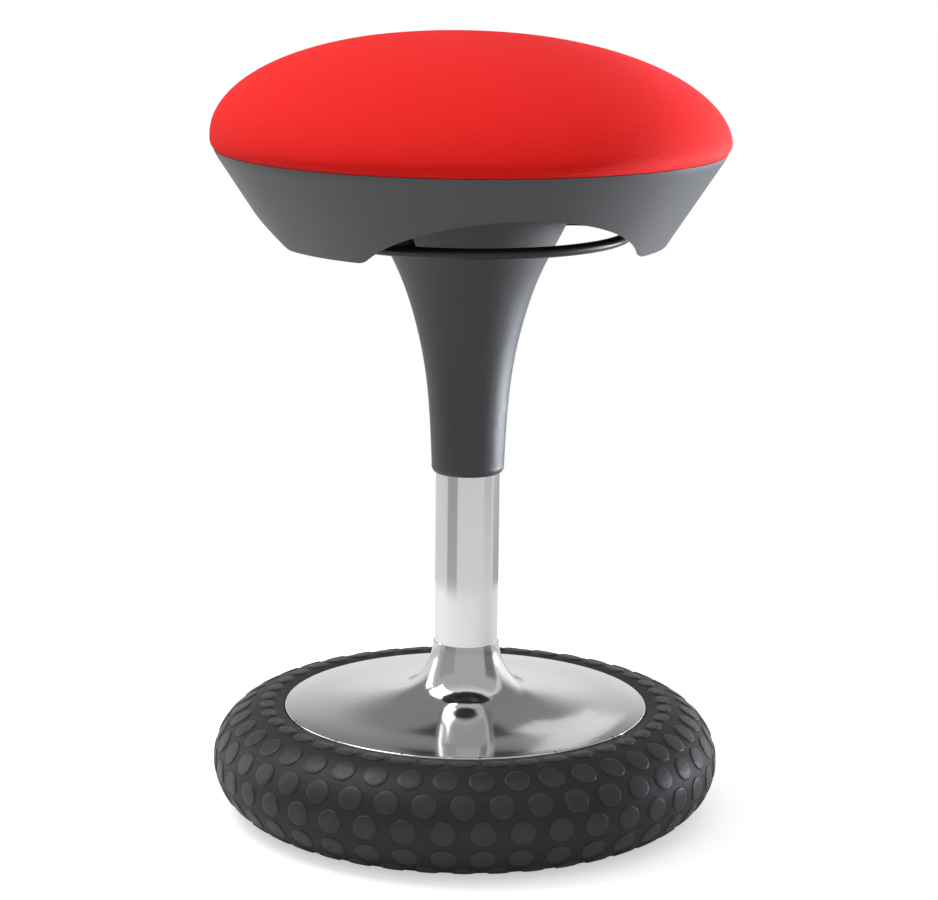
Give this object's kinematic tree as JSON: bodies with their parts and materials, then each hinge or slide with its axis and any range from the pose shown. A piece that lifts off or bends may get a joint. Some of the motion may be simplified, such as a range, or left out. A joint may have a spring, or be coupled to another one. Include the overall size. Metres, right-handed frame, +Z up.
{
  "type": "wobble stool",
  "caption": "Height-adjustable stool with a domed cushion, an under-seat release ring, a gas lift and a round rubber base ring that lets it rock.",
  "frame": {"origin": "on the floor, on the stool's axis", "axes": "+Z up along the column, -Y towards the seat shell's front arch, +X to the right seen from the front"},
  "size_m": [0.4018, 0.4062, 0.6103],
  "materials": {
    "rubber": "satin, moulded",
    "polished_aluminium": "polished",
    "zinc_steel": "zinc plated",
    "bright_steel": "ground",
    "black_steel": "black powder coat",
    "chrome_steel": "bright chrome",
    "brass": "bright",
    "black_plastic": "fine grain, black",
    "grey_plastic": "fine grain, dark grey",
    "plywood": "raw birch ply",
    "foam": "open-cell foam",
    "red_knit": "fine knit, red"
  },
  "bodies": {
    "base": {"tyre": "rubber", "base_disc": "polished_aluminium", "base_plate": "zinc_steel", "base_plate_screws": "zinc_steel", "hub_cap": "black_plastic", "column_tube": "chrome_steel", "column_floor": "zinc_steel", "column_guide": "black_plastic", "thrust_race_lower": "bright_steel", "thrust_balls": "bright_steel", "thrust_cage": "brass"},
    "piston": {"thrust_race_upper": "bright_steel", "rod_buffer": "rubber", "piston_rod": "chrome_steel", "piston": "bright_steel", "rod_washer": "zinc_steel", "rod_clip": "bright_steel"},
    "seat": {"gas_cylinder": "black_steel", "cylinder_gland": "bright_steel", "taper_bush": "black_steel", "mounting_plate": "black_steel", "mounting_bolts": "zinc_steel", "mounting_washers": "zinc_steel", "board_nuts": "zinc_steel", "seat_board": "plywood", "fulcrum_collar": "black_plastic", "fulcrum_screws": "zinc_steel", "column_shroud": "grey_plastic", "shroud_screws": "zinc_steel", "seat_shell": "grey_plastic", "shell_screws": "zinc_steel", "foam_pad": "foam", "seat_cover": "red_knit", "cover_staples": "zinc_steel"},
    "release_ring": {"release_ring": "black_plastic"},
    "release_pin": {"release_pin": "bright_steel"}
  },
  "joints": [
    {"name": "seat_swivel", "type": "hinge", "parent": "base", "child": "piston", "pos_m": [0, 0, 0.042], "axis": [0, 0, 1], "continuous": true},
    {"name": "height_lift", "type": "slide", "parent": "piston", "child": "seat", "axis": [0, 0, 1], "range_m": [-0.125, 0]},
    {"name": "ring_tilt", "type": "hinge", "parent": "seat", "child": "release_ring", "pos_m": [0, -0.0315, 0.5146], "axis": [-1, 0, 0], "range_deg": [0, 4], "stiffness_Nm_per_rad": 6, "springref_deg": -4.58},
    {"name": "pin_press", "type": "slide", "parent": "seat", "child": "release_pin", "axis": [0, 0, 1], "range_m": [-0.00225, 0]}
  ],
  "couplings": [
    {"joint": "pin_press", "follows": "ring_tilt", "m_per_rad": -0.0315}
  ]
}
